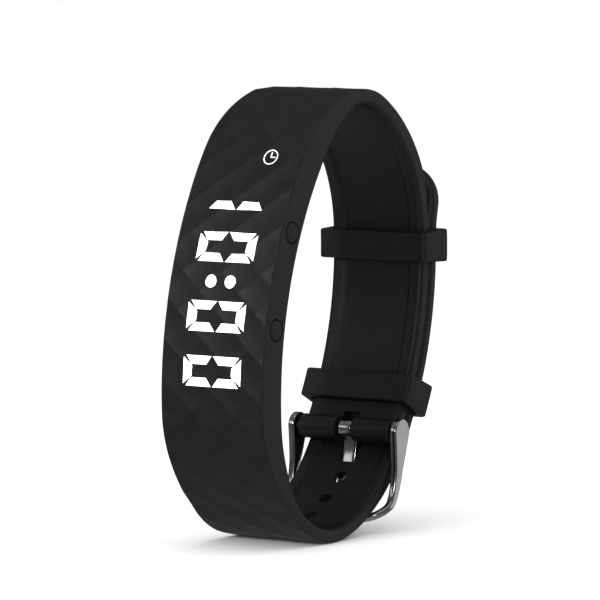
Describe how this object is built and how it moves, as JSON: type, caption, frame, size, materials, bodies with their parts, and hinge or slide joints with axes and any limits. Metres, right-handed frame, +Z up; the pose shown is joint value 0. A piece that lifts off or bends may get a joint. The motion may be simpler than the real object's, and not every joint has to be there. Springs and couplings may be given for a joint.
{
  "type": "fitness tracker band",
  "caption": "Closed silicone wristband with a faceted front, a lit segment display, side buttons, a steel tang buckle and keeper loops.",
  "frame": {"origin": "middle of the wrist opening, halfway across the band", "axes": "+X across the band towards the buttons, +Z up along the loop's long axis, display facing -Y"},
  "size_m": [0.0218, 0.0558, 0.0738],
  "materials": {
    "band_silicone": "matt moulded silicone with a faceted front",
    "keeper_silicone": "matt moulded silicone",
    "button_silicone": "matt moulded silicone",
    "shell_plastic": "fine moulded texture",
    "seal_rubber": "soft",
    "white_plastic": "opaque white",
    "lit_segments": "lit",
    "lit_icon": "lit",
    "led_package": "clear epoxy",
    "circuit_board": "solder mask",
    "chip_plastic": "moulded",
    "flex_film": "polyimide film",
    "battery_foil": "laminated foil",
    "foam": "closed-cell foam",
    "weight_alloy": "sintered",
    "gold_plate": "plated",
    "plunger_plastic": "moulded",
    "steel": "turned",
    "buckle_chrome": "polished stainless steel"
  },
  "bodies": {
    "band": {"silicone_band": "band_silicone", "capsule_lower_shell": "shell_plastic", "capsule_upper_shell": "shell_plastic", "capsule_seal": "seal_rubber", "capsule_screws": "steel", "light_guide": "white_plastic", "display_digits": "lit_segments", "display_colon": "lit_segments", "clock_icon": "lit_icon", "display_leds": "led_package", "display_board": "circuit_board", "main_board": "circuit_board", "board_chips": "chip_plastic", "flex_link": "flex_film", "battery_cell": "battery_foil", "battery_pad": "foam", "motor_case": "steel", "motor_base": "steel", "charging_contacts": "gold_plate", "switch_upper": "steel", "switch_lower": "steel", "spring_bar_tube": "steel", "spring_bar_coil": "steel"},
    "motor_rotor": {"motor_rotor": "weight_alloy"},
    "button_upper": {"button_upper": "button_silicone", "switch_upper_plunger": "plunger_plastic"},
    "button_lower": {"button_lower": "button_silicone", "switch_lower_plunger": "plunger_plastic"},
    "spring_bar_pin_left": {"spring_bar_pin_left": "steel"},
    "spring_bar_pin_right": {"spring_bar_pin_right": "steel"},
    "buckle_frame": {"buckle_frame": "buckle_chrome"},
    "buckle_tang": {"buckle_tang": "buckle_chrome"},
    "keeper_upper": {"keeper_upper": "keeper_silicone"},
    "keeper_lower": {"keeper_lower": "keeper_silicone"}
  },
  "joints": [
    {"name": "button_upper_press", "type": "slide", "parent": "band", "child": "button_upper", "axis": [-1, 0, 0], "range_m": [0, 0.00035], "stiffness_N_per_m": 3000},
    {"name": "button_lower_press", "type": "slide", "parent": "band", "child": "button_lower", "axis": [-1, 0, 0], "range_m": [0, 0.00035], "stiffness_N_per_m": 3000},
    {"name": "motor_spin", "type": "hinge", "parent": "band", "child": "motor_rotor", "pos_m": [-0.0022, -0.01791, 0.01071], "axis": [0, -0.9397, 0.342], "continuous": true},
    {"name": "spring_bar_pin_left_slide", "type": "slide", "parent": "band", "child": "spring_bar_pin_left", "axis": [1, 0, 0], "range_m": [0, 0.00095], "stiffness_N_per_m": 600, "springref_m": -0.001, "deforming": ["spring_bar_coil"]},
    {"name": "spring_bar_pin_right_slide", "type": "slide", "parent": "band", "child": "spring_bar_pin_right", "axis": [-1, 0, 0], "range_m": [0, 0.00095], "stiffness_N_per_m": 600, "springref_m": -0.001},
    {"name": "buckle_frame_swing", "type": "hinge", "parent": "band", "child": "buckle_frame", "pos_m": [0, 0.01257, -0.02045], "axis": [1, 0, 0], "range_deg": [0, 4]},
    {"name": "buckle_tang_swing", "type": "hinge", "parent": "buckle_frame", "child": "buckle_tang", "pos_m": [0, 0.01257, -0.02045], "axis": [1, 0, 0], "range_deg": [0, 4]},
    {"name": "keeper_upper_slide", "type": "hinge", "parent": "band", "child": "keeper_upper", "pos_m": [0, -0.0347, 0.0092], "axis": [1, 0, 0], "range_deg": [-9, 0]},
    {"name": "keeper_lower_slide", "type": "hinge", "parent": "band", "child": "keeper_lower", "pos_m": [0, -0.0347, 0.0092], "axis": [1, 0, 0], "range_deg": [-1, 6]}
  ]
}
